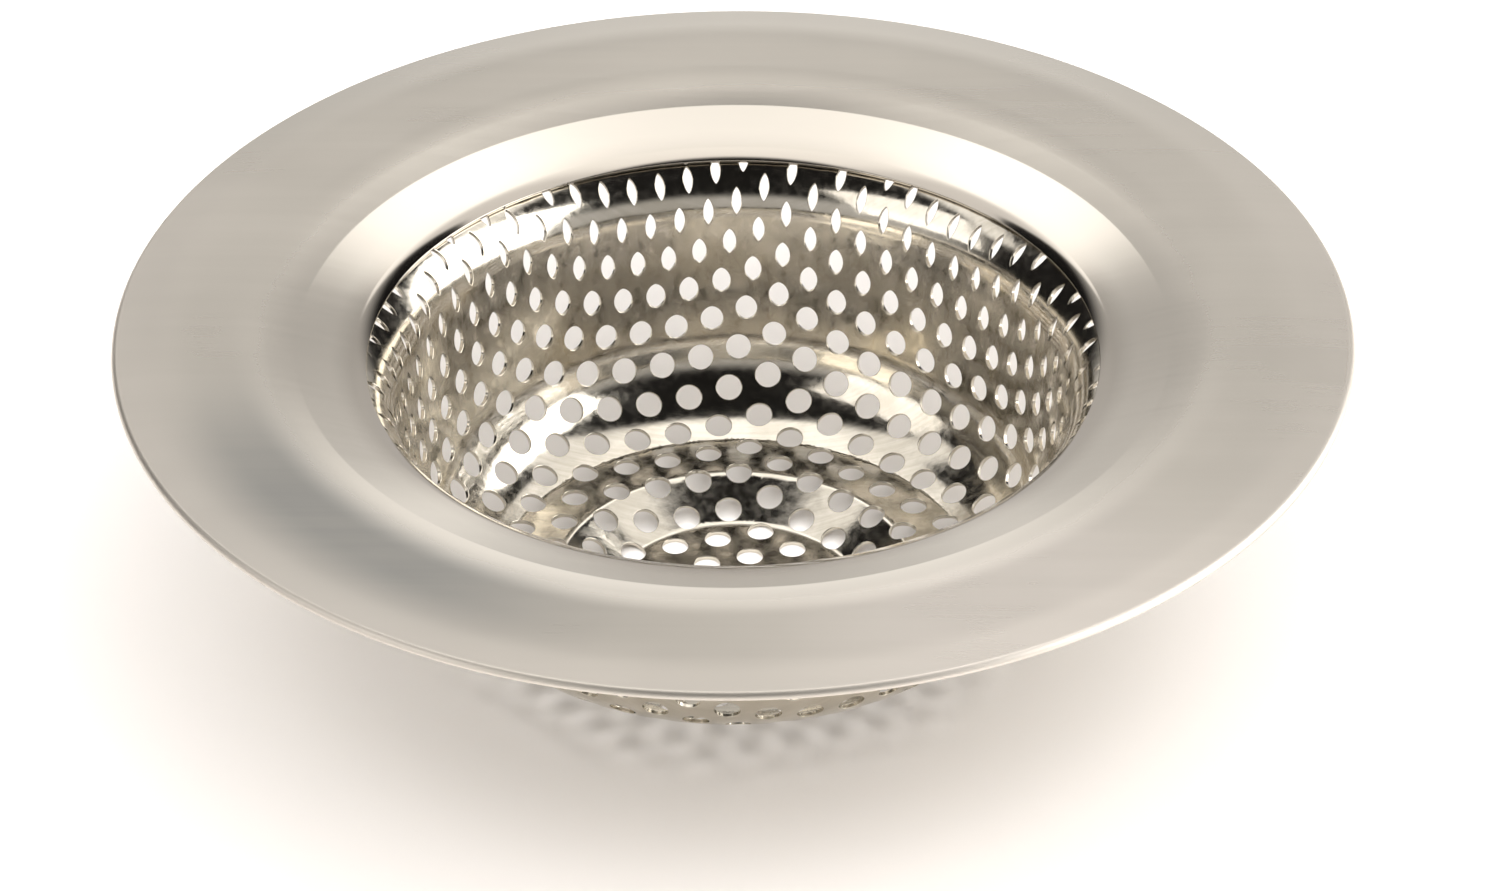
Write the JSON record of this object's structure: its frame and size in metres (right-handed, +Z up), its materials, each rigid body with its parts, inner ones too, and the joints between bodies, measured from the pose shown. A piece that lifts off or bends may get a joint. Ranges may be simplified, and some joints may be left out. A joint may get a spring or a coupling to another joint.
{
  "type": "sink strainer",
  "caption": "Round kitchen sink strainer: a wide satin steel brim with a rounded collar over a drawn, perforated steel basket with a stepped floor.",
  "frame": {"origin": "middle of the basket's underside, where the strainer stands", "axes": "+Z up through the mouth along the axis of the basket, X and Y across the brim"},
  "size_m": [0.114, 0.114, 0.0307],
  "materials": {
    "satin_steel": "satin",
    "polished_steel": "polished",
    "weld_steel": "as welded"
  },
  "bodies": {
    "root": {"rim_flange": "satin_steel", "strainer_basket": "polished_steel", "spot_welds": "weld_steel"}
  },
  "joints": []
}
